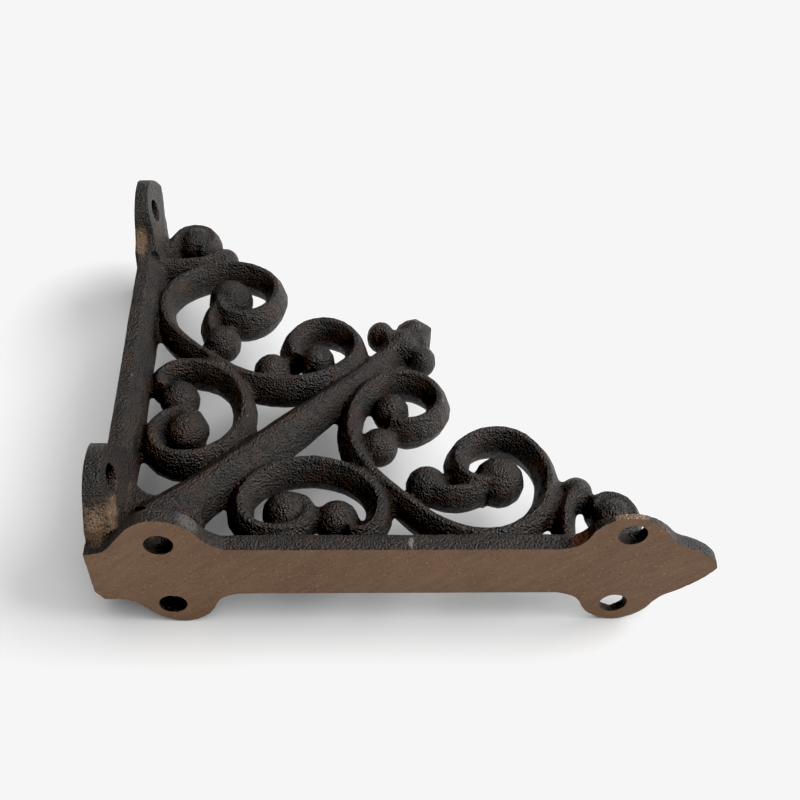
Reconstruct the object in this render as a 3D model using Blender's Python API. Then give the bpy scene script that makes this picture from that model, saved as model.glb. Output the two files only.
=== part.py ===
"""Cast iron scroll bracket for a wall shelf, modelled member by member.

The bracket lies on its side: +X runs along the shelf strap, +Y along the wall strap and +Z is the
normal of the openwork web.  Every member is drawn in the pattern's own frame, in millimetres, whose
origin is where the two straps' mounting faces meet, on the web's mid-plane.  An empty carries that
frame to the part's origin, the bottom centre of the bounding box.
"""

from math import radians

import bmesh
import bpy
from mathutils import Matrix, Vector

MM = 0.001

# Driving dimensions, in millimetres.
ARM = 178.0            # each strap, mounting corner to tip
STRAP_T = 5.3          # thickness of the shelf strap's plate
WALL_T = 3.4           # the same on the wall strap
WALL_BOSS = 6.8        # thickness of the wall strap's lobes beside the web
CREST_T = 8.5          # from the mounting corner to the crest of both straps' crowns
WALL_PAD = 1.6         # how far the wall strap's lobes stand out behind its band
RIM = 1.8              # rounding of a strap's inner rim
CROWN_HALF = 9.4       # half the crown's width
BAND_HALF = 10.0       # half the width of a strap between its lobes
LOBE_HALF = 23.6       # the lower lobes, on which the bracket lies
LOBE_SLOPE = 13.0      # degrees that the lobes' inner faces fall away to a thinner rim
TIP_TAPER = 7.3        # degrees that the wall strap's inner face falls away toward its point
HOLE_R = 4.4           # cast screw hole
HOLE_DRAFT = 0.90      # its inner end as a share of its outer end
HOLES = {
    "shelf": ((19.5, 12.4), (21.2, -15.2), (150.5, 16.4), (151.0, -15.7)),
    "wall": ((21.0, 16.8), (21.2, -15.2), (149.5, 17.2), (151.0, -15.7)),
}
SCROLL_A = 3.6         # half width of a scroll band at the parting plane
SCROLL_H = 6.6         # half height of a scroll band
BAR_A = 7.2            # half width of the diagonal bar at its middle
BAR_H = 7.8            # half height of the diagonal bar at its middle
GUSSET_H = 4.6         # half height of the corner gussets
GAP = 0.3              # clearance left between neighbouring members
PATTERN_X = (ARM - WALL_PAD) / 2
PATTERN_Y = ARM / 2
SPREAD_FROM = 12.0     # the wall side's scrolls stand wider or narrower from this line
CORNER_SPREAD = 1.09
MAIN_SPREAD = 0.955

# A strap's outline between its two ends: distance along it, half width above and below the web.
UPPER = (
    (-WALL_PAD, 8.0), (3.6, 9.2), (8.6, 15.4), (13.4, 21.0), (19.2, 22.6), (27.6, 19.4), (32.0, 13.4),
    (37.5, BAND_HALF), (132.0, BAND_HALF), (137.0, 12.0), (141.6, 20.4), (150.8, 23.4),
    (158.8, 18.8), (164.0, 12.4), (171.6, 8.4), (176.6, 4.4),
)
WALL_UPPER = (
    (-WALL_PAD, 8.0), (3.6, 9.6), (8.4, 16.4), (13.4, 22.6), (20.4, 24.8), (29.4, 21.8), (34.0, 14.4),
    (38.5, BAND_HALF), (132.0, BAND_HALF), (137.0, 13.0), (142.0, 21.8), (151.6, 25.6),
    (160.6, 22.6), (167.4, 15.6), (173.0, 9.6), (176.8, 4.8),
)
LOWER = (
    (175.6, -2.6), (170.0, -8.2), (164.2, -12.6), (159.6, -20.2), (151.4, -LOBE_HALF),
    (143.6, -19.6), (139.4, -12.6), (133.4, -BAND_HALF), (40.5, -BAND_HALF), (35.4, -12.2),
    (31.4, -20.0), (24.6, -LOBE_HALF), (17.4, -21.0), (12.6, -16.2), (8.4, -12.9), (1.8, -12.6),
    (-0.6, -8.8),
)
TIP = (ARM, 1.2)
CORNERS = (UPPER[0], TIP, *LOWER[-2:])
CREST = (
    (9.5, 0.0, 0.4), (17.0, 0.0, 0.9), (40.0, 0.0, 1.0), (130.0, 0.0, 1.0), (144.0, 0.0, 0.95),
    (157.0, 0.0, 0.68), (168.0, 0.0, 0.30),
)

# Centrelines on the shelf side: X, Y and the size there as a share of the full section.
CORNER_SCROLL = (
    (53.5, 25.2, 0.75), (59.3, 23.6, 0.80), (60.3, 17.8, 0.85), (55.5, 12.8, 0.9), (48.5, 11.8, 1.0),
    (42.6, 15.0, 1.0), (40.4, 21.6, 1.0), (42.6, 28.8, 1.0), (48.8, 34.8, 1.0), (57.5, 37.8, 1.0),
    (67.5, 37.0, 1.0), (75.8, 32.6, 1.0), (80.8, 25.6, 1.0), (81.4, 18.0, 1.0), (77.5, 12.0, 0.9),
    (72.5, 12.2, 0.8),
)
MAIN_SCROLL = (
    (88.6, 24.2, 1.0), (96.3, 16.2, 1.0), (104.0, 11.6, 1.0), (112.0, 9.8, 1.0), (121.4, 12.2, 1.0),
    (129.0, 19.0, 1.0), (133.0, 28.0, 1.0), (133.0, 37.0, 1.0), (130.0, 44.4, 1.0),
    (125.0, 49.4, 1.0), (118.2, 50.6, 1.0), (111.4, 48.2, 1.0), (107.2, 43.2, 1.0),
    (106.2, 37.0, 1.0), (109.0, 31.6, 1.0), (114.5, 29.6, 1.0),
)
INNER_SCROLL = (
    (87.4, 25.4, 1.0), (80.8, 32.6, 1.0), (76.2, 40.0, 1.0), (73.8, 48.0, 1.0), (73.8, 57.0, 1.0),
    (76.0, 64.6, 1.0), (79.8, 70.6, 1.0), (85.2, 75.2, 1.0), (91.6, 76.6, 1.0), (98.0, 74.2, 1.0),
    (102.0, 68.8, 1.0), (102.0, 62.2, 1.0), (98.2, 57.0, 1.0), (92.0, 54.4, 1.0), (86.6, 55.8, 0.9),
)
MAIN_NECK = (
    (94.9, 31.0, 0.72), (99.7, 27.9, 0.83), (105.8, 27.1, 0.88), (111.9, 28.8, 0.86),
    (116.4, 31.9, 0.70),
)
TIP_LEAF = (
    (134.6, 4.0, 1.1), (135.4, 10.6, 0.9), (136.4, 17.0, 0.85), (138.0, 23.0, 0.85), (142.4, 28.4, 0.9),
)
TIP_CURL = (
    (143.0, 4.0, 0.8), (146.0, 9.4, 0.8), (151.0, 11.0, 0.85), (155.6, 14.4, 0.85),
    (156.2, 20.2, 0.85), (152.4, 24.4, 0.85), (147.0, 23.8, 0.8), (145.6, 20.0, 0.75),
)
SHELF_HOOK = ((89.0, 90.0, 0.8), (93.6, 89.8, 0.85), (98.3, 88.0, 0.8))
WALL_HOOK = ((88.0, 91.0, 0.8), (87.6, 95.6, 0.85), (85.4, 100.0, 0.8))
KNOB_NECK = ((89.0, 91.0, 0.9), (92.6, 95.4, 1.0), (96.0, 100.0, 0.9))
BAR = (
    (15.0, 14.4, 1.35), (28.0, 27.4, 1.05), (42.0, 41.2, 1.0), (56.0, 55.4, 0.95),
    (68.0, 67.8, 0.80), (78.0, 78.6, 0.68), (88.0, 89.6, 0.68),
)
GUSSETS = {
    "shelf": (
        (4.0, 4.0), (37.0, 4.0), (33.0, 9.0), (29.6, 14.4), (30.2, 21.8), (36.4, 28.0), (30.0, 30.0),
    ),
    "wall": (
        (4.0, 4.0), (33.0, 4.0), (29.0, 9.0), (25.2, 13.4), (24.8, 19.0), (26.5, 23.5), (25.0, 25.0),
    ),
}
GUSSET_HOLLOW = (3, 4)

# Bulbs: X, Y, radius and half height.
CORNER_EYE = (53.6, 21.2, 6.4, 7.2)
CORNER_BUD = (69.0, 18.2, 6.2, 6.2)
MAIN_EYE = (118.7, 33.7, 7.5, 7.6)
MAIN_BUD = (96.5, 31.8, 6.1, 6.2)
INNER_EYE = (87.0, 63.3, 5.6, 6.4)
INNER_BUD = (82.4, 48.2, 5.8, 6.0)
CURL_EYE = (150.8, 18.6, 6.4, 7.0)
LEAF_END = (142.0, 29.4, 4.6, 4.4)
FINIAL_KNOB = (96.8, 100.6, 6.5, 7.2)
FINIAL_CORE = (96.2, 100.0, 5.7, 6.6)
FINIAL_BODY = (91.9, 94.9, 6.3, 6.1)
FINIAL_SHELF_LOBE = (98.6, 88.0, 4.4, 5.4)
FINIAL_WALL_LOBE = (85.2, 100.4, 4.4, 5.5)

IRON = (0.030, 0.026, 0.022, 1.0)
GROUND = (0.170, 0.108, 0.066, 1.0)


def clear_scene():
    for ob in list(bpy.data.objects):
        bpy.data.objects.remove(ob, do_unlink=True)


def new_collection(name):
    coll = bpy.data.collections.new(name)
    bpy.context.scene.collection.children.link(coll)
    return coll


def material(name, color):
    mat = bpy.data.materials.new(name)
    mat.use_nodes = True
    bsdf = mat.node_tree.nodes["Principled BSDF"]
    bsdf.inputs["Base Color"].default_value = color
    bsdf.inputs["Roughness"].default_value = 0.5
    bsdf.inputs["Metallic"].default_value = 0.3
    mat.diffuse_color = color
    return mat


def on(side, shape, spread=1.0):
    """A shape given for the shelf side, on either side: on the wall side X and Y change places."""
    if side == "shelf":
        return shape
    if isinstance(shape[0], tuple):
        return tuple(on(side, point, spread) for point in shape)
    return (SPREAD_FROM + (shape[1] - SPREAD_FROM) * spread, shape[0], *shape[2:])


def take_mesh(ob):
    """An object's evaluated mesh, welded and facing out, in place of the object."""
    bpy.context.view_layer.update()
    graph = bpy.context.evaluated_depsgraph_get()
    mesh = bpy.data.meshes.new_from_object(ob.evaluated_get(graph))
    mesh.transform(ob.matrix_world)
    bpy.data.objects.remove(ob, do_unlink=True)
    return weld(mesh)


def weld(mesh):
    bm = bmesh.new()
    bm.from_mesh(mesh)
    bmesh.ops.remove_doubles(bm, verts=bm.verts, dist=1e-6)
    bmesh.ops.recalc_face_normals(bm, faces=bm.faces)
    bm.to_mesh(mesh)
    bm.free()
    return mesh


def link(name, data):
    ob = bpy.data.objects.new(name, data)
    bpy.context.scene.collection.objects.link(ob)
    return ob


def section(name, a, h, guides):
    """A member's section: widest at the parting plane, with a soft ridge above and below."""
    flank = ((1.0, 0.0), (0.62, 0.58), (0.16, 0.97))
    ring = [*flank, *((-x, y) for x, y in reversed(flank))]
    ring += [(-x, -y) for x, y in ring[1:-1]]
    curve = bpy.data.curves.new(name, "CURVE")
    curve.dimensions = "2D"
    curve.fill_mode = "NONE"
    spline = curve.splines.new("POLY")
    spline.points.add(len(ring) - 1)
    for point, (x, y) in zip(spline.points, ring):
        point.co = (x * a * MM, y * h * MM, 0.0, 1.0)
    spline.use_cyclic_u = True
    ob = bpy.data.objects.new(name, curve)
    ob.hide_render = True
    ob.display_type = "WIRE"
    guides.objects.link(ob)
    return ob


def sweep(line, profile, grow=0.0):
    """A member along a planar line; grow is added to its size, as a share of the full section."""
    curve = bpy.data.curves.new("member", "CURVE")
    curve.dimensions = "3D"
    curve.twist_mode = "Z_UP"
    curve.bevel_mode = "OBJECT"
    curve.bevel_object = profile
    curve.use_fill_caps = True
    curve.resolution_u = 2
    spline = curve.splines.new("BEZIER")
    spline.bezier_points.add(len(line) - 1)
    for point, (x, y, size) in zip(spline.bezier_points, line):
        point.co = (x * MM, y * MM, 0.0)
        point.handle_left_type = "AUTO"
        point.handle_right_type = "AUTO"
        point.radius = size + grow
    return take_mesh(link("member", curve))


def outline_curve(points, sharp):
    """A closed flat outline, smooth but for the points listed as sharp."""
    curve = bpy.data.curves.new("outline", "CURVE")
    curve.dimensions = "2D"
    curve.fill_mode = "BOTH"
    curve.resolution_u = 3
    spline = curve.splines.new("BEZIER")
    spline.bezier_points.add(len(points) - 1)
    spline.use_cyclic_u = True
    for point, (x, y) in zip(spline.bezier_points, points):
        kind = "VECTOR" if (x, y) in sharp else "AUTO"
        point.co = (x * MM, y * MM, 0.0)
        point.handle_left_type = kind
        point.handle_right_type = kind
    return curve


def mesh_of(make):
    """A mesh filled by a function that is given an empty bmesh."""
    bm = bmesh.new()
    make(bm)
    mesh = bpy.data.meshes.new("solid")
    bm.to_mesh(mesh)
    bm.free()
    return mesh


def bulb(shape, grow=0.0):
    """A bulb, an eye or a bud: a ball flattened or raised along Z."""
    x, y, r, h = shape
    size = Matrix.Diagonal((r + grow, r + grow, h + grow, 1.0)) * MM
    size[3][3] = 1.0
    matrix = Matrix.Translation(Vector((x, y, 0.0)) * MM) @ size
    return mesh_of(lambda bm: bmesh.ops.create_uvsphere(
        bm, u_segments=14, v_segments=8, radius=1.0, matrix=matrix))


def pointed_bulb(shape, grow=0.0):
    """A bulb with flat facets that meet in points."""
    x, y, r, h = shape
    size = Matrix.Diagonal((r + grow, r + grow, h + grow, 1.0)) * MM
    size[3][3] = 1.0
    matrix = Matrix.Translation(Vector((x, y, 0.0)) * MM) @ size
    return mesh_of(lambda bm: bmesh.ops.create_icosphere(
        bm, subdivisions=1, radius=1.0, matrix=matrix @ Matrix.Rotation(radians(12.0), 4, "Z")))


def box(low, high):
    low, high = Vector(low) * MM, Vector(high) * MM
    matrix = Matrix.Translation((low + high) / 2) @ Matrix.Diagonal((*(high - low), 1.0))
    return mesh_of(lambda bm: bmesh.ops.create_cube(bm, size=1.0, matrix=matrix))


def hole_pin(s, z):
    """A tapered pin that cuts one screw hole through a plate lying flat."""
    return mesh_of(lambda bm: bmesh.ops.create_cone(
        bm, cap_ends=True, segments=20, radius1=HOLE_R * MM, radius2=HOLE_R * HOLE_DRAFT * MM,
        depth=(CREST_T + WALL_PAD + 2.0) * MM,
        matrix=Matrix.Translation(Vector((s, z, (CREST_T - WALL_PAD) / 2)) * MM)))


def largest_island(mesh):
    """Drop the slivers that a cut leaves beside the body."""
    bm = bmesh.new()
    bm.from_mesh(mesh)
    left = set(bm.faces)
    islands = []
    while left:
        start = left.pop()
        island = {start}
        stack = [start]
        while stack:
            for edge in stack.pop().edges:
                fresh = [face for face in edge.link_faces if face in left]
                left.difference_update(fresh)
                island.update(fresh)
                stack += fresh
        islands.append(island)
    islands.sort(key=lambda faces: -sum(face.calc_area() for face in faces))
    extra = [face for island in islands[1:] for face in island]
    bmesh.ops.delete(bm, geom=extra, context="FACES")
    bm.to_mesh(mesh)
    bm.free()
    return mesh


def combine(mesh, operation, others):
    """A mesh joined with, or cut by, other meshes, one exact Boolean after another."""
    ob = link("body", mesh)
    tools = [link("tool", other) for other in others]
    for tool in tools:
        modifier = ob.modifiers.new("combine", "BOOLEAN")
        modifier.operation = operation
        modifier.solver = "EXACT"
        modifier.object = tool
    result = take_mesh(ob)
    for tool in tools:
        bpy.data.objects.remove(tool, do_unlink=True)
    return largest_island(result)


def crest(side):
    """The line a strap's crown follows, on the inner face of its plate."""
    if side == "shelf":
        return tuple((x, STRAP_T, size) for x, _, size in CREST)
    return tuple((WALL_T, y, size) for y, _, size in CREST)


def slope_cutter(start, end, thickness, up):
    """A slab that thins the lobes between two ends toward their rims, above or below the web."""
    slab = box((start, -6, 0), (end, 60, 30))
    slab.transform(Matrix.Rotation(radians(-LOBE_SLOPE), 4, "X"))
    slab.transform(Matrix.Translation((0, 7.0 * MM, thickness * MM)))
    if not up:
        slab.transform(Matrix.Diagonal((1, -1, 1, 1)))
    return weld(slab)


def taper_cutter():
    """A slab that thins the wall strap toward its point."""
    slab = box((-6, -40, 0), (60, 40, 30))
    slab.transform(Matrix.Rotation(radians(TIP_TAPER), 4, "Y"))
    slab.transform(Matrix.Translation((150.0 * MM, 0, WALL_BOSS * MM)))
    return weld(slab)


def strap(side, crown):
    """A strap: a plate with lobes and a pointed tip, crowned on its inner face, with its holes."""
    upper, back, thickness = (UPPER, 0.0, STRAP_T)
    if side == "wall":
        upper, back, thickness = (WALL_UPPER, -WALL_PAD, WALL_BOSS)
    points = (*upper, TIP, *LOWER)
    straight = tuple(point for point in points if abs(point[1]) == BAND_HALF)
    curve = outline_curve(points, CORNERS + straight)
    curve.bevel_depth = RIM * MM
    curve.bevel_resolution = 1
    curve.offset = -RIM * MM
    curve.extrude = 2 * WALL_BOSS * MM
    ob = link("plate", curve)
    ob.location.z = (thickness - 2 * WALL_BOSS - RIM) * MM
    cuts = [box((-20, -40, back - 40), (200, 40, back))]
    if side == "wall":
        cuts.append(box((38.0, -40, WALL_T), (134.0, 40, 40)))
        cuts += [slope_cutter(-20, 38.2, WALL_BOSS, up) for up in (True, False)]
        cuts.append(taper_cutter())
    cuts += [slope_cutter(133.8, 200, thickness, up) for up in (True, False)]
    plate = combine(take_mesh(ob), "DIFFERENCE", cuts)
    stand = Matrix(((1, 0, 0, 0), (0, 0, 1, 0), (0, 1, 0, 0), (0, 0, 0, 1)))
    if side == "wall":
        stand = Matrix(((0, 0, 1, 0), (1, 0, 0, 0), (0, 1, 0, 0), (0, 0, 0, 1)))
    pins = [hole_pin(s, z) for s, z in HOLES[side]]
    for piece in (plate, *pins):
        piece.transform(stand)
        weld(piece)
    body = combine(plate, "UNION", [sweep(crest(side), crown)])
    if side == "wall":
        corner = box((-10, -10, -40), (30, STRAP_T + GAP, 40))
        relief = box((-10, 38.5, -40), (0.0, 133.0, 40))
        pins += [corner, relief]
    return combine(body, "DIFFERENCE", pins)


def build():
    clear_scene()
    bracket = new_collection("wall_shelf_bracket")
    guides = new_collection("guides")
    band = section("section_band", SCROLL_A, SCROLL_H, guides)
    bar_section = section("section_bar", BAR_A, BAR_H, guides)
    crowns = {
        side: tuple(
            section(f"section_{side}_crown", CREST_T - base + gap, CROWN_HALF + gap, guides)
            for gap in (0.0, GAP))
        for side, base in (("shelf", STRAP_T), ("wall", WALL_T))
    }
    share = GAP / SCROLL_A
    frame = bpy.data.objects.new("pattern_frame", None)
    frame.location = Vector((-PATTERN_X, -PATTERN_Y, LOBE_HALF)) * MM
    bracket.objects.link(frame)

    def add(name, mesh, color=IRON):
        mesh.name = name
        mesh.materials.clear()
        mesh.materials.append(material(f"{name}_finish", color))
        mesh.shade_smooth()
        mesh.set_sharp_from_angle(angle=0.7)
        ob = bpy.data.objects.new(name, mesh)
        ob.parent = frame
        bracket.objects.link(ob)

    def clear_of_straps():
        return [
            box((-10, -10, -40), (ARM + 10, STRAP_T + GAP, 40)),
            box((-10, -10, -40), (WALL_T + GAP, ARM + 10, 40)),
            box((-10, -10, -40), (WALL_BOSS + GAP, 38.0 + GAP, 40)),
            box((-10, 134.0 - GAP, -40), (WALL_BOSS + GAP, 200, 40)),
            sweep(crest("shelf"), crowns["shelf"][1]), sweep(crest("wall"), crowns["wall"][1]),
        ]

    def clear_of_bar():
        return [sweep(BAR, bar_section, GAP / BAR_A)]

    def scroll(line, eye, clear):
        whole = combine(sweep(line, band), "UNION", [bulb(eye)])
        return combine(whole, "DIFFERENCE", clear_of_straps() + clear)

    for side in ("shelf", "wall"):
        add(f"{side}_strap", strap(side, crowns[side][0]), GROUND)
    add("diagonal_bar", combine(sweep(BAR, bar_section), "DIFFERENCE", clear_of_straps()))

    for side in ("shelf", "wall"):
        corner = on(side, CORNER_SCROLL, CORNER_SPREAD)
        corner_eye = on(side, CORNER_EYE, CORNER_SPREAD)
        main = on(side, MAIN_SCROLL, MAIN_SPREAD)
        main_eye = on(side, MAIN_EYE, MAIN_SPREAD)
        inner = on(side, INNER_SCROLL)
        inner_eye = on(side, INNER_EYE)

        points = on(side, GUSSETS[side])
        hollow = tuple(points[i] for i in GUSSET_HOLLOW)
        curve = outline_curve(points, tuple(point for point in points if point not in hollow))
        curve.extrude = GUSSET_H * MM
        gusset = take_mesh(link("gusset", curve))
        clear = clear_of_straps() + clear_of_bar() + [sweep(corner, band, share)]
        add(f"{side}_gusset", combine(gusset, "DIFFERENCE", clear))

        add(f"{side}_corner_scroll", scroll(corner, corner_eye, clear_of_bar()))
        clear = clear_of_bar() + [sweep(corner, band, share)]
        add(f"{side}_inner_scroll", scroll(inner, inner_eye, clear))
        clear = [sweep(corner, band, share), sweep(inner, band, share)]
        add(f"{side}_main_scroll", scroll(main, main_eye, clear))

        clear = clear_of_straps() + [sweep(corner, band, share), bulb(corner_eye, GAP)]
        bud = bulb(on(side, CORNER_BUD, CORNER_SPREAD))
        add(f"{side}_corner_bud", combine(bud, "DIFFERENCE", clear))

        clear = [sweep(inner, band, share), bulb(inner_eye, GAP)]
        add(f"{side}_inner_bud", combine(bulb(on(side, INNER_BUD)), "DIFFERENCE", clear))

        neck = sweep(on(side, MAIN_NECK, MAIN_SPREAD), band)
        bud = combine(bulb(on(side, MAIN_BUD, MAIN_SPREAD)), "UNION", [neck])
        clear = [sweep(main, band, share), sweep(inner, band, share), bulb(main_eye, GAP)]
        add(f"{side}_main_bud", combine(bud, "DIFFERENCE", clear))

        leaf = combine(sweep(on(side, TIP_LEAF), band), "UNION", [bulb(on(side, LEAF_END))])
        clear = clear_of_straps() + [sweep(main, band, share)]
        add(f"{side}_tip_leaf", combine(leaf, "DIFFERENCE", clear))

        clear = [sweep(on(side, TIP_LEAF), band, share), bulb(on(side, LEAF_END), GAP)]
        add(f"{side}_tip_curl", scroll(on(side, TIP_CURL), on(side, CURL_EYE), clear))

    rest = [bulb(FINIAL_CORE), bulb(FINIAL_BODY), sweep(KNOB_NECK, band)]
    knob = combine(pointed_bulb(FINIAL_KNOB), "UNION", rest)
    add("finial_knob", combine(knob, "DIFFERENCE", clear_of_bar()))
    for side, eye, hook in (
        ("shelf", FINIAL_SHELF_LOBE, SHELF_HOOK), ("wall", FINIAL_WALL_LOBE, WALL_HOOK),
    ):
        lobe = combine(bulb(eye), "UNION", [sweep(hook, band)])
        clear = clear_of_bar() + [
            pointed_bulb(FINIAL_KNOB, GAP), bulb(FINIAL_CORE, GAP), bulb(FINIAL_BODY, GAP),
            sweep(KNOB_NECK, band, share),
            sweep(on(side, INNER_SCROLL), band, share),
        ]
        add(f"finial_{side}_lobe", combine(lobe, "DIFFERENCE", clear))


build()
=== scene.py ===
"""Looks of a sand-cast iron scroll bracket, lying on its side in a soft studio light."""

from math import radians

import bmesh
import bpy
from bpy.props import FloatProperty, FloatVectorProperty, IntProperty, PointerProperty
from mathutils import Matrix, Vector, noise
from mathutils.bvhtree import BVHTree


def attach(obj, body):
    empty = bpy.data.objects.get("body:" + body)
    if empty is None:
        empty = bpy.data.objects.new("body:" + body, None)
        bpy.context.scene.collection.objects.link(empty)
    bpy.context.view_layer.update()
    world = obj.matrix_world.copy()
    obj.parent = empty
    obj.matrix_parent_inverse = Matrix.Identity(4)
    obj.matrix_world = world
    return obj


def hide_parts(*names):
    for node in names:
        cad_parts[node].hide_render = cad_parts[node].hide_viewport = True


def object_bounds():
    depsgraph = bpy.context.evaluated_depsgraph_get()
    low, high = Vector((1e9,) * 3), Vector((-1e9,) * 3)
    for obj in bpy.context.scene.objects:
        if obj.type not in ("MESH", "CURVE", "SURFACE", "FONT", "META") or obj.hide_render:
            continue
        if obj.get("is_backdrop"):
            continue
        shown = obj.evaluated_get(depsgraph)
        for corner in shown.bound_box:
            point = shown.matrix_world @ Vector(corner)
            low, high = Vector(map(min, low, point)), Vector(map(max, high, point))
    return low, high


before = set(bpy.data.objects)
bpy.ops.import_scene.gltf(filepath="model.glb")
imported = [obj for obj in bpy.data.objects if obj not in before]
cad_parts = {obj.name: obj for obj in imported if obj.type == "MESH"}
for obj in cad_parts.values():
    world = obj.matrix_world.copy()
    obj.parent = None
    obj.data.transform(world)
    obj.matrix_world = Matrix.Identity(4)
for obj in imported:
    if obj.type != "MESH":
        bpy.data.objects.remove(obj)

bl_info = {
    "name": "Cast Scroll Bracket",
    "version": (1, 0, 0),
    "blender": (4, 5, 0),
    "location": "3D View > Sidebar > Bracket",
    "description": "Makes the looks of a cast iron scroll bracket on a studio floor",
    "category": "Add Mesh",
}

CAD_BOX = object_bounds()
MM = 0.001
LOW, HIGH = (Vector(corner) for corner in CAD_BOX)
PAD = 1.6 * MM                 # the wall pads stand this far behind the corner
LOBE = 23.6 * MM               # from the floor up to the middle of the openwork
CORNER = Vector((LOW.x + PAD, LOW.y, LOW.z + LOBE))
NODES = sorted(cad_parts)


def at(x, y, z=0.0):
    """A place given in millimetres from the mounting corner, on the middle of the openwork."""
    return CORNER + Vector((x, y, z)) * MM


def srgb(code):
    """Linear colour of an sRGB hex code."""
    parts = [int(code[i:i + 2], 16) / 255 for i in (0, 2, 4)]
    return (*(c / 12.92 if c <= 0.04045 else ((c + 0.055) / 1.055) ** 2.4 for c in parts), 1.0)


# ---------------------------------------------------------------------------- settings


class BracketCastingSettings(bpy.types.PropertyGroup):
    grain: FloatProperty(
        name="Skin Grid", description="Spacing of the casting's surface points",
        default=0.48 * MM, min=0.3 * MM, max=2 * MM, unit="LENGTH")
    swell: FloatProperty(
        name="Swell", description="How far each member grows to run into its neighbours",
        default=1.05 * MM, min=0.0, max=2 * MM, unit="LENGTH")
    shrink: FloatProperty(
        name="Shrink", description="How far the joined casting shrinks back again",
        default=0.55 * MM, min=0.0, max=2 * MM, unit="LENGTH")
    fillet: IntProperty(
        name="Fillet Passes", description="Smoothing passes that round the mould's inner corners",
        default=4, min=0, max=60)
    lump: FloatProperty(
        name="Lump Height", description="Height of the slow unevenness of hand-finished patterns",
        default=0.09 * MM, min=0.0, max=1 * MM, unit="LENGTH")
    pit: FloatProperty(
        name="Sand Height", description="Height of the print left by the moulding sand",
        default=0.06 * MM, min=0.0, max=0.5 * MM, unit="LENGTH")


class BracketFinishSettings(bpy.types.PropertyGroup):
    paint: FloatVectorProperty(
        name="Paint", description="Bronze-black paint",
        subtype="COLOR", size=4, default=srgb("100E0C"))
    # Painted shade: near black laid into hollows and the sand's grain pits, where shade falls.
    hollow_shade: FloatVectorProperty(
        name="Paint in Hollows", description="Paint that has pooled in a hollow",
        subtype="COLOR", size=4, default=srgb("030302"))
    paint_brown: FloatVectorProperty(
        name="Brown Cast of Paint", description="Rubbed paint over brown iron",
        subtype="COLOR", size=4, default=srgb("2B1D12"))
    # Also laid as a painted highlight along an inner scroll's crest and as painted glints on the
    # ground faces.
    worn_iron_and_highlight: FloatVectorProperty(
        name="Worn Iron", description="Paint rubbed through to tan iron",
        subtype="COLOR", size=4, default=srgb("9C7C5E"))
    # Also laid as a painted sheen on the shelf lobe at the corner.
    bright_iron_and_sheen: FloatVectorProperty(
        name="Bright Iron", description="Fresh knocks and file marks",
        subtype="COLOR", size=4, default=srgb("8E8B86"))
    rust: FloatVectorProperty(
        name="Rust", description="Rusty flash left in a notch",
        subtype="COLOR", size=4, default=srgb("5A3117"))
    ground: FloatVectorProperty(
        name="Ground Iron", description="Ground mounting face",
        subtype="COLOR", size=4, default=srgb("6E533C"))
    ground_dark: FloatVectorProperty(
        name="Ground Iron in Marks", description="Ground face between the marks",
        subtype="COLOR", size=4, default=srgb("5A412D"))


class BracketStageSettings(bpy.types.PropertyGroup):
    floor: FloatVectorProperty(
        name="Floor", description="Colour of the paper on the floor",
        subtype="COLOR", size=4, default=srgb("D8D8D8"))
    lens: FloatProperty(
        name="Lens", description="Focal length on a 36 mm sensor", default=50.70, min=1.0)
    shift: FloatVectorProperty(
        name="Lens Shift", description="Sideways and upward shift of the lens", size=2,
        default=(0.05, 0.04))
    key: FloatProperty(
        name="Key Light", description="Strength of the window light from the right",
        default=5.0, min=0.0)
    top: FloatProperty(
        name="Top Light", description="Strength of the soft light overhead",
        default=1.7, min=0.0)
    front: FloatProperty(
        name="Front Light", description="Strength of the soft light in front",
        default=1.2, min=0.0)
    room: FloatProperty(
        name="Room Light", description="Strength of the white room", default=0.16, min=0.0)
    black: FloatProperty(
        name="Film Black", description="Linear light that the camera records as black",
        default=0.014, min=0.0, max=0.1)
    white: FloatProperty(
        name="Film White", description="Linear value at which the camera's white clips",
        default=0.921, min=0.1, max=1.0)


# ---------------------------------------------------------------------------- materials


def new_finish(name):
    """An empty material with its Principled shader."""
    mat = bpy.data.materials.new(name)
    mat.use_nodes = True
    return mat, mat.node_tree.nodes["Principled BSDF"]


def add_node(mat, kind, feeds=(), out=0, stops=(), **settings):
    """Adds a node and gives back one of its outputs.

    Feeds pair one of its sockets with another node's output or with a plain value, and stops are
    the places and values of a colour ramp.
    """
    node = mat.node_tree.nodes.new(kind)
    for key, value in settings.items():
        setattr(node, key, value)
    for socket, source in feeds:
        if isinstance(source, bpy.types.NodeSocket):
            mat.node_tree.links.new(source, node.inputs[socket])
        else:
            node.inputs[socket].default_value = source
    for i, (place, value) in enumerate(stops):
        stop = node.color_ramp.elements[i]
        stop.position = place
        stop.color = (value, value, value, 1.0)
    return node.outputs[out]


def per_metre(size_mm):
    """A noise texture's scale for features of a given size in millimetres."""
    return 1.0 / (size_mm * MM)


def wear_and_sheen_patch(mat, place, spots, amount, centre, reach):
    """How strong a patch of wear, painted sheen or painted highlight is around one place: most at
    its centre, ragged where it fades out.
    """
    ragged = 0.9
    away = add_node(mat, "ShaderNodeVectorMath", [(0, place), (1, centre)], operation="SUBTRACT")
    flat = add_node(
        mat, "ShaderNodeVectorMath", [(0, away), (1, Vector(reach) * MM)], operation="DIVIDE")
    far = add_node(mat, "ShaderNodeVectorMath", [(0, flat)], out=1, operation="LENGTH")
    rough = add_node(
        mat, "ShaderNodeMath", [(0, spots), (1, ragged), (2, far)], operation="MULTIPLY_ADD")
    return add_node(mat, "ShaderNodeMapRange", [
        ("Value", rough),
        ("From Min", 1.0 + ragged / 2),
        ("From Max", 0.55 + ragged / 2),
        ("To Min", 0.0),
        ("To Max", amount),
    ])


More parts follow.
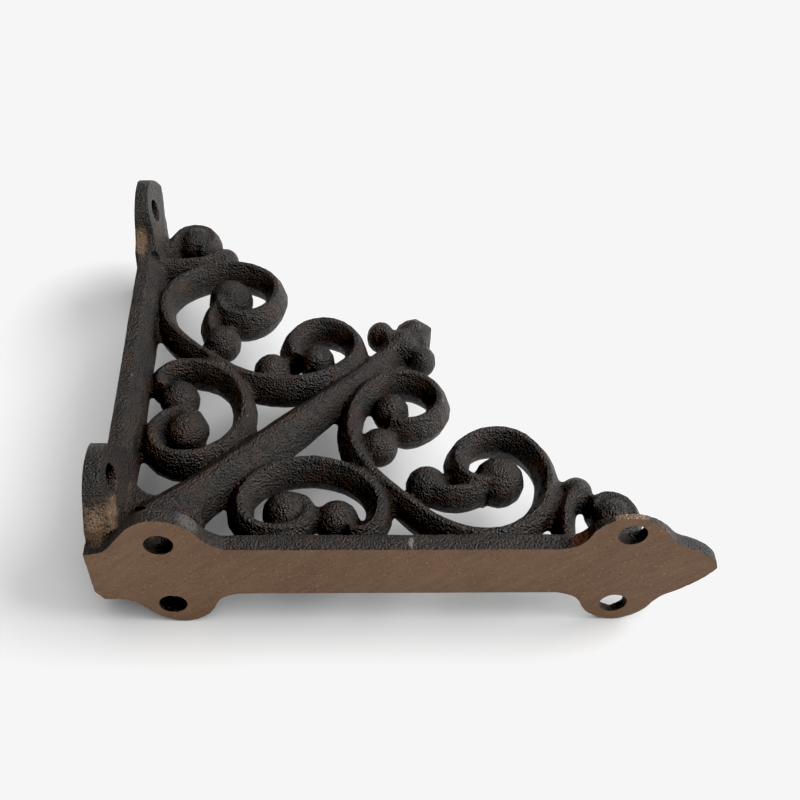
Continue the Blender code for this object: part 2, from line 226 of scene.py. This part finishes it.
def painted_casting(finish):
    """Sand-cast iron under thin bronze-black paint.

    The sand leaves a print of grains about half a millimetre across, which breaks the light into
    specks. The paint is satin and rubbed brown on ridges. Hollows and grain pits are laid near
    black as painted shade; one lobe has a painted sheen and one scroll's crest a painted highlight.
    """
    mat, shader = new_finish("painted_sand_cast_iron")
    place = add_node(mat, "ShaderNodeTexCoord", out="Object")
    ridge = add_node(mat, "ShaderNodeNewGeometry", out="Pointiness")
    grains, clouds, spots = (
        add_node(mat, "ShaderNodeTexNoise", [
            ("Vector", place), ("Scale", per_metre(size)), ("Detail", detail),
            ("Roughness", rough)])
        for size, detail, rough in ((0.52, 3.0, 0.62), (7.0, 5.0, 0.65), (2.6, 4.0, 0.7)))
    cells = add_node(
        mat, "ShaderNodeTexVoronoi", [("Vector", place), ("Scale", per_metre(0.66))], feature="F1")

    brown = add_node(mat, "ShaderNodeValToRGB", [(0, clouds)], stops=((0.38, 0.0), (0.66, 1.0)))
    # Painted shade: hollows of the skin turn near black.
    hollow = add_node(mat, "ShaderNodeValToRGB", [(0, ridge)], stops=((0.44, 1.0), (0.50, 0.0)))
    # Painted shade: the sand's grain pits turn near black.
    pits = add_node(mat, "ShaderNodeValToRGB", [(0, grains)], stops=((0.36, 0.85), (0.52, 0.0)))
    raised = add_node(mat, "ShaderNodeValToRGB", [(0, ridge)], stops=((0.54, 0.0), (0.62, 0.40)))
    broken = add_node(mat, "ShaderNodeValToRGB", [(0, spots)], stops=((0.42, 0.0), (0.62, 1.0)))
    rubbed = add_node(mat, "ShaderNodeMath", [(0, raised), (1, broken)], operation="MULTIPLY")

    colour = finish.paint
    for amount, tint in (
        (brown, finish.paint_brown),
        (hollow, finish.hollow_shade),
        (pits, finish.hollow_shade),
        (rubbed, finish.worn_iron_and_highlight),
    ):
        colour = add_node(
            mat, "ShaderNodeMix", [(0, amount), (6, colour), (7, tint)], out=2, data_type="RGBA")
    # Patches of wear, chips and rust, and among them one painted sheen and one painted highlight.
    for tint, amount, centre, reach in (
        (finish.worn_iron_and_highlight, 0.62, at(2.0, 11.0, 11.5), (6.0, 9.0, 7.5)),     # wall lobe at the corner
        (finish.worn_iron_and_highlight, 0.45, at(0.5, 138.0, 13.5), (2.6, 10.0, 5.0)),   # wall lobe at the tip
        (finish.worn_iron_and_highlight, 0.60, at(148.0, 1.0, 23.6), (9.0, 2.6, 1.4)),    # shelf lobe at the tip
        (finish.rust, 0.70, at(137.5, 3.0, 12.5), (4.5, 6.0, 3.4)),    # notch beside that lobe
        # Painted sheen: grey laid over the shelf lobe at the corner.
        (finish.bright_iron_and_sheen, 0.22, at(28.0, 3.0, 19.0), (6.5, 4.0, 3.4)),     # shelf lobe at the corner
        (finish.bright_iron_and_sheen, 0.55, at(89.5, 2.5, 10.2), (0.9, 2.4, 1.2)),     # chip on the shelf strap
        (finish.bright_iron_and_sheen, 0.80, at(98.3, 100.0, 4.5), (0.9, 3.0, 2.2)),    # chip on the finial
        # Painted highlight: tan laid along the crest of an inner scroll.
        (finish.worn_iron_and_highlight, 0.35, at(85.0, 77.0, 5.5), (6.0, 1.6, 1.6)),     # crest of an inner scroll
    ):
        iron = add_node(
            mat, "ShaderNodeMix", [(0, pits), (6, tint), (7, finish.paint)], out=2,
            data_type="RGBA")
        worn = wear_and_sheen_patch(mat, place, spots, amount, centre, reach)
        colour = add_node(
            mat, "ShaderNodeMix", [(0, worn), (6, colour), (7, iron)], out=2, data_type="RGBA")
    mat.node_tree.links.new(colour, shader.inputs["Base Color"])

    satin = add_node(mat, "ShaderNodeValToRGB", [(0, spots)], stops=((0.30, 0.24), (0.72, 0.42)))
    dull = add_node(mat, "ShaderNodeValToRGB", [(0, ridge)], stops=((0.46, 0.45), (0.53, 0.0)))
    gloss = add_node(mat, "ShaderNodeMath", [(0, satin), (1, dull)], operation="ADD")
    mat.node_tree.links.new(gloss, shader.inputs["Roughness"])
    shader.inputs["Specular IOR Level"].default_value = 0.50
    height = add_node(mat, "ShaderNodeMath", [(0, grains), (1, cells)], operation="SUBTRACT")
    bump = add_node(
        mat, "ShaderNodeBump", [("Strength", 1.0), ("Distance", 0.55 * MM), ("Height", height)])
    mat.node_tree.links.new(bump, shader.inputs["Normal"])
    return mat


def ground_casting(finish):
    """Iron ground flat on a coarse belt and left unpainted, gone brown.

    The belt leaves fine straight scratches, slanting across the face, with faint broader bands.
    Small pits of the casting are laid dark as painted shade, and a few high grains carry painted
    glints.
    """
    mat, shader = new_finish("ground_bare_iron")
    place = add_node(mat, "ShaderNodeTexCoord", out="Object")
    slant = radians(50.0)
    drawn_out = 6.0
    along_belt = add_node(mat, "ShaderNodeMapping", [
        ("Vector", place), ("Rotation", (0.0, slant, 0.0)), ("Scale", (1.0, 1.0, drawn_out)),
    ], vector_type="TEXTURE")
    scratches, bands, stain, specks = (
        add_node(mat, "ShaderNodeTexNoise", [
            ("Vector", where), ("Scale", per_metre(size)), ("Detail", detail),
            ("Roughness", rough)])
        for where, size, detail, rough in (
            (along_belt, 0.36, 3.0, 0.75),
            (along_belt, 1.6, 2.0, 0.5),
            (place, 24.0, 4.0, 0.6),
            (place, 0.9, 2.0, 0.6)))

    marks = add_node(mat, "ShaderNodeMath", [(0, scratches), (1, bands)], operation="ADD")
    tone = add_node(mat, "ShaderNodeMath", [(0, marks), (1, stain)], operation="ADD")
    light = add_node(
        mat, "ShaderNodeMapRange", [("Value", tone), ("From Min", 1.1), ("From Max", 1.9)])
    # Painted shade: the ground face's small pits are laid dark.
    pits = add_node(mat, "ShaderNodeValToRGB", [(0, specks)], stops=((0.27, 0.9), (0.33, 0.0)))
    # Painted glints: a few high grains are laid bright.
    glints = add_node(mat, "ShaderNodeValToRGB", [(0, specks)], stops=((0.60, 0.0), (0.72, 0.5)))
    colour = finish.ground_dark
    for amount, tint in (
        (light, finish.ground),
        (pits, finish.hollow_shade),
        (glints, finish.worn_iron_and_highlight),
    ):
        colour = add_node(
            mat, "ShaderNodeMix", [(0, amount), (6, colour), (7, tint)], out=2, data_type="RGBA")
    mat.node_tree.links.new(colour, shader.inputs["Base Color"])
    shader.inputs["Metallic"].default_value = 0.25
    shader.inputs["Roughness"].default_value = 0.6
    bump = add_node(
        mat, "ShaderNodeBump", [("Strength", 0.6), ("Distance", 0.12 * MM), ("Height", scratches)])
    mat.node_tree.links.new(bump, shader.inputs["Normal"])
    return mat


def matt_floor(stage):
    """Seamless white paper: even and matt, with no texture to see."""
    mat, shader = new_finish("seamless_paper")
    shader.inputs["Base Color"].default_value = stage.floor
    shader.inputs["Roughness"].default_value = 0.95
    shader.inputs["Specular IOR Level"].default_value = 0.1
    return mat


# ---------------------------------------------------------------------------- the casting


def node_copies():
    """All members as one bmesh, each face carrying its member's number."""
    bm = bmesh.new()
    number = bm.faces.layers.int.new("member")
    for i, name in enumerate(NODES):
        start = len(bm.faces)
        bm.from_mesh(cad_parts[name].data)
        bm.faces.ensure_lookup_table()
        for face in bm.faces[start:]:
            face[number] = i
    bmesh.ops.remove_doubles(bm, verts=bm.verts, dist=0.001 * MM)
    return bm


def swollen(bm, amount):
    """The members grown along their normals, as a mesh object ready for remeshing."""
    bm.normal_update()
    moves = [(vert, vert.normal * amount) for vert in bm.verts]
    for vert, move in moves:
        vert.co += move
    mesh = bpy.data.meshes.new("casting_skin")
    bm.to_mesh(mesh)
    for vert, move in moves:
        vert.co -= move
    ob = bpy.data.objects.new("casting_skin", mesh)
    bpy.context.scene.collection.objects.link(ob)
    return ob


def sand_print(point, casting):
    """How far the mould moves the skin at a point, by slow lumps and by the print of its sand."""
    slow = noise.noise(point / (7.0 * MM)) + 0.5 * noise.noise(point / (3.1 * MM))
    fine = noise.noise(point / (1.25 * MM)) + 0.7 * noise.noise(point / (0.75 * MM))
    return slow * casting.lump + fine * casting.pit


def casting_skin(casting):
    """The whole casting's skin: members run together, filleted and given the sand's print."""
    ready = bpy.data.meshes.get("casting_skin")
    if ready:
        return ready
    members = node_copies()
    tree = BVHTree.FromBMesh(members)
    number = members.faces.layers.int["member"]
    members.faces.ensure_lookup_table()
    owners = [face[number] for face in members.faces]
    ob = swollen(members, casting.swell)
    members.free()
    remesh = ob.modifiers.new("Skin", "REMESH")
    remesh.mode = "VOXEL"
    remesh.voxel_size = casting.grain
    graph = bpy.context.evaluated_depsgraph_get()
    mesh = bpy.data.meshes.new_from_object(ob.evaluated_get(graph))
    old = ob.data
    bpy.data.objects.remove(ob)
    bpy.data.meshes.remove(old)
    mesh.name = "casting_skin"

    bm = bmesh.new()
    bm.from_mesh(mesh)
    for _ in range(casting.fillet):
        bmesh.ops.smooth_vert(
            bm, verts=bm.verts, factor=0.5, use_axis_x=True, use_axis_y=True, use_axis_z=True)
    bm.normal_update()
    moves = [
        vert.normal * (sand_print(vert.co, casting) - casting.shrink) for vert in bm.verts]
    for vert, move in zip(bm.verts, moves):
        vert.co += move
    number = bm.faces.layers.int.new("member")
    for face in bm.faces:
        face[number] = owners[tree.find_nearest(face.calc_center_median())[2]]
    ground_flat(bm, Vector((0.0, LOW.y, 0.0)), Vector((0.0, -1.0, 0.0)), NODES.index("shelf_strap"))
    ground_flat(bm, Vector((LOW.x, 0.0, 0.0)), Vector((-1.0, 0.0, 0.0)), NODES.index("wall_strap"))
    bm.to_mesh(mesh)
    bm.free()
    return mesh


def ground_flat(bm, point, outward, owner):
    """Grinds the casting flat at a plane, down to a face of unpainted iron with a crisp edge."""
    number = bm.faces.layers.int["member"]
    geometry = bm.verts[:] + bm.edges[:] + bm.faces[:]
    bmesh.ops.bisect_plane(
        bm, geom=geometry, dist=0.004 * MM, plane_co=point, plane_no=outward)
    level = outward.dot(point)
    close = 0.006 * MM
    ground = set()
    for vert in bm.verts:
        proud = outward.dot(vert.co) - level
        if proud > -close:
            vert.co -= outward * proud
            ground.add(vert)
    for face in bm.faces:
        if ground.issuperset(face.verts):
            face[number] = owner
            face.material_index = 1


def cast_pieces(context, names):
    """The named members cut out of the skin and capped at their seams, on the one body."""
    settings = context.scene
    skin = casting_skin(settings.bracket_casting)
    finishes = [bpy.data.materials.get("painted_sand_cast_iron")
                or painted_casting(settings.bracket_finish),
                bpy.data.materials.get("ground_bare_iron")
                or ground_casting(settings.bracket_finish)]
    for name in names:
        bm = bmesh.new()
        bm.from_mesh(skin)
        number = bm.faces.layers.int["member"]
        member = NODES.index(name)
        bmesh.ops.delete(
            bm, geom=[face for face in bm.faces if face[number] != member], context="FACES")
        seam = [edge for edge in bm.edges if edge.is_boundary]
        closed = bmesh.ops.holes_fill(bm, edges=seam, sides=0)
        bmesh.ops.triangulate(bm, faces=closed["faces"])
        for face in bm.faces:
            face.smooth = face.material_index == 0
        for edge in seam:
            edge.smooth = False
        for edge in bm.edges:
            if len({face.material_index for face in edge.link_faces}) == 2:
                edge.smooth = False
        mesh = bpy.data.meshes.new(f"{name}_cast")
        bm.to_mesh(mesh)
        bm.free()
        for finish in finishes:
            mesh.materials.append(finish)
        piece = bpy.data.objects.new(f"{name}_cast", mesh)
        context.scene.collection.objects.link(piece)
        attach(piece, "root")
        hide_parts(name)


def members(*words):
    """The names of the members that hold one of the words."""
    return [name for name in NODES if any(word in name for word in words)]


class BRACKET_OT_straps(bpy.types.Operator):
    """Casts the wall and shelf straps, with their lobes, holes and ground faces"""
    bl_idname = "bracket.straps"
    bl_label = "Straps"

    def execute(self, context):
        cast_pieces(context, members("strap"))
        return {"FINISHED"}


class BRACKET_OT_bar(bpy.types.Operator):
    """Casts the diagonal bar and the gussets beside its foot"""
    bl_idname = "bracket.bar"
    bl_label = "Diagonal Bar and Gussets"

    def execute(self, context):
        cast_pieces(context, members("bar", "gusset"))
        return {"FINISHED"}


class BRACKET_OT_scrolls(bpy.types.Operator):
    """Casts the scrolls that fill the corner between the straps"""
    bl_idname = "bracket.scrolls"
    bl_label = "Scrolls"

    def execute(self, context):
        cast_pieces(context, members("scroll"))
        return {"FINISHED"}


class BRACKET_OT_buds(bpy.types.Operator):
    """Casts the buds on the scrolls, and the leaves and curls at the straps' tips"""
    bl_idname = "bracket.buds"
    bl_label = "Buds, Leaves and Curls"

    def execute(self, context):
        cast_pieces(context, members("bud", "leaf", "curl"))
        return {"FINISHED"}


class BRACKET_OT_finial(bpy.types.Operator):
    """Casts the knob and side lobes at the end of the diagonal bar"""
    bl_idname = "bracket.finial"
    bl_label = "Finial"

    def execute(self, context):
        cast_pieces(context, members("finial"))
        return {"FINISHED"}


def white_room(strength):
    """Even light from all round, in front of a backdrop that stays plain white."""
    world = bpy.data.worlds.new("white_room")
    world.use_nodes = True
    tree = world.node_tree
    light = tree.nodes["Background"]
    light.inputs["Color"].default_value = (1.0, 1.0, 1.0, 1.0)
    light.inputs["Strength"].default_value = strength
    backdrop = tree.nodes.new("ShaderNodeBackground")
    backdrop.inputs["Color"].default_value = (1.0, 1.0, 1.0, 1.0)
    seen = tree.nodes.new("ShaderNodeLightPath")
    either = tree.nodes.new("ShaderNodeMixShader")
    tree.links.new(seen.outputs["Is Camera Ray"], either.inputs[0])
    tree.links.new(light.outputs[0], either.inputs[1])
    tree.links.new(backdrop.outputs[0], either.inputs[2])
    tree.links.new(either.outputs[0], tree.nodes["World Output"].inputs[0])
    return world


class BRACKET_OT_stage(bpy.types.Operator):
    """Lays the floor, hangs the lights and stands the camera"""
    bl_idname = "bracket.stage"
    bl_label = "Studio"

    def execute(self, context):
        stage = context.scene.bracket_stage
        bpy.ops.mesh.primitive_plane_add(size=60.0, location=(0.0, 0.0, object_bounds()[0][2]))
        floor = context.object
        floor.name = "floor"
        floor.data.materials.append(matt_floor(stage))
        floor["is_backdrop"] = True

        soft_light("key_light", Vector((0.95, 0.20, 0.62)), 60.0, stage.key)
        soft_light("top_light", Vector((0.0, 0.0, 1.0)), 60.0, stage.top)
        soft_light("front_light", Vector((0.25, -1.0, 0.75)), 60.0, stage.front)

        context.scene.world = white_room(stage.room)
        film(context.scene.view_settings, stage)

        camera = bpy.data.cameras.new("camera")
        camera.sensor_width = 36.0
        camera.lens = stage.lens
        camera.shift_x, camera.shift_y = stage.shift
        camera.clip_start = 0.01
        stand = bpy.data.objects.new("camera", camera)
        stand.location = at(62.41, -192.77, 258.83)
        stand.rotation_euler = (radians(43.785), radians(-1.731), radians(-1.537))
        context.scene.collection.objects.link(stand)
        context.scene.camera = stand
        return {"FINISHED"}


def film(view, stage):
    """Plain display colours, with the camera's response at both ends of the scale."""
    view.view_transform = "Standard"
    view.use_curve_mapping = True
    response = view.curve_mapping
    response.black_level = (stage.black,) * 3
    response.extend = "HORIZONTAL"
    response.curves[3].points[-1].location = (1.0, stage.white)
    response.update()


def soft_light(name, direction, width, strength):
    """A broad, distant light; its width is the angle that it fills, in degrees."""
    light = bpy.data.lights.new(name, "SUN")
    light.angle = radians(width)
    light.energy = strength
    ob = bpy.data.objects.new(name, light)
    ob.location = direction
    ob.rotation_euler = direction.to_track_quat("Z", "Y").to_euler()
    bpy.context.scene.collection.objects.link(ob)


class BRACKET_PT_panel(bpy.types.Panel):
    """Lists the bracket's pieces and their settings"""
    bl_idname = "BRACKET_PT_panel"
    bl_label = "Cast Scroll Bracket"
    bl_space_type = "VIEW_3D"
    bl_region_type = "UI"
    bl_category = "Bracket"

    def draw(self, context):
        for settings in (context.scene.bracket_casting, context.scene.bracket_finish,
                         context.scene.bracket_stage):
            box = self.layout.box()
            for key in settings.__annotations__:
                box.prop(settings, key)
        for operator in OPERATORS:
            self.layout.operator(operator.bl_idname)


SETTINGS = {
    "bracket_casting": BracketCastingSettings,
    "bracket_finish": BracketFinishSettings,
    "bracket_stage": BracketStageSettings,
}
OPERATORS = (
    BRACKET_OT_straps, BRACKET_OT_bar, BRACKET_OT_scrolls, BRACKET_OT_buds, BRACKET_OT_finial,
    BRACKET_OT_stage,
)


def register():
    for cls in (*SETTINGS.values(), *OPERATORS, BRACKET_PT_panel):
        bpy.utils.register_class(cls)
    for name, cls in SETTINGS.items():
        setattr(bpy.types.Scene, name, PointerProperty(type=cls))


def unregister():
    for name in SETTINGS:
        delattr(bpy.types.Scene, name)
    for cls in (BRACKET_PT_panel, *reversed(OPERATORS), *reversed(SETTINGS.values())):
        bpy.utils.unregister_class(cls)


def main():
    register()
    bpy.ops.bracket.straps()
    bpy.ops.bracket.bar()
    bpy.ops.bracket.scrolls()
    bpy.ops.bracket.buds()
    bpy.ops.bracket.finial()
    bpy.ops.bracket.stage()


if __name__ == "__main__":
    main()
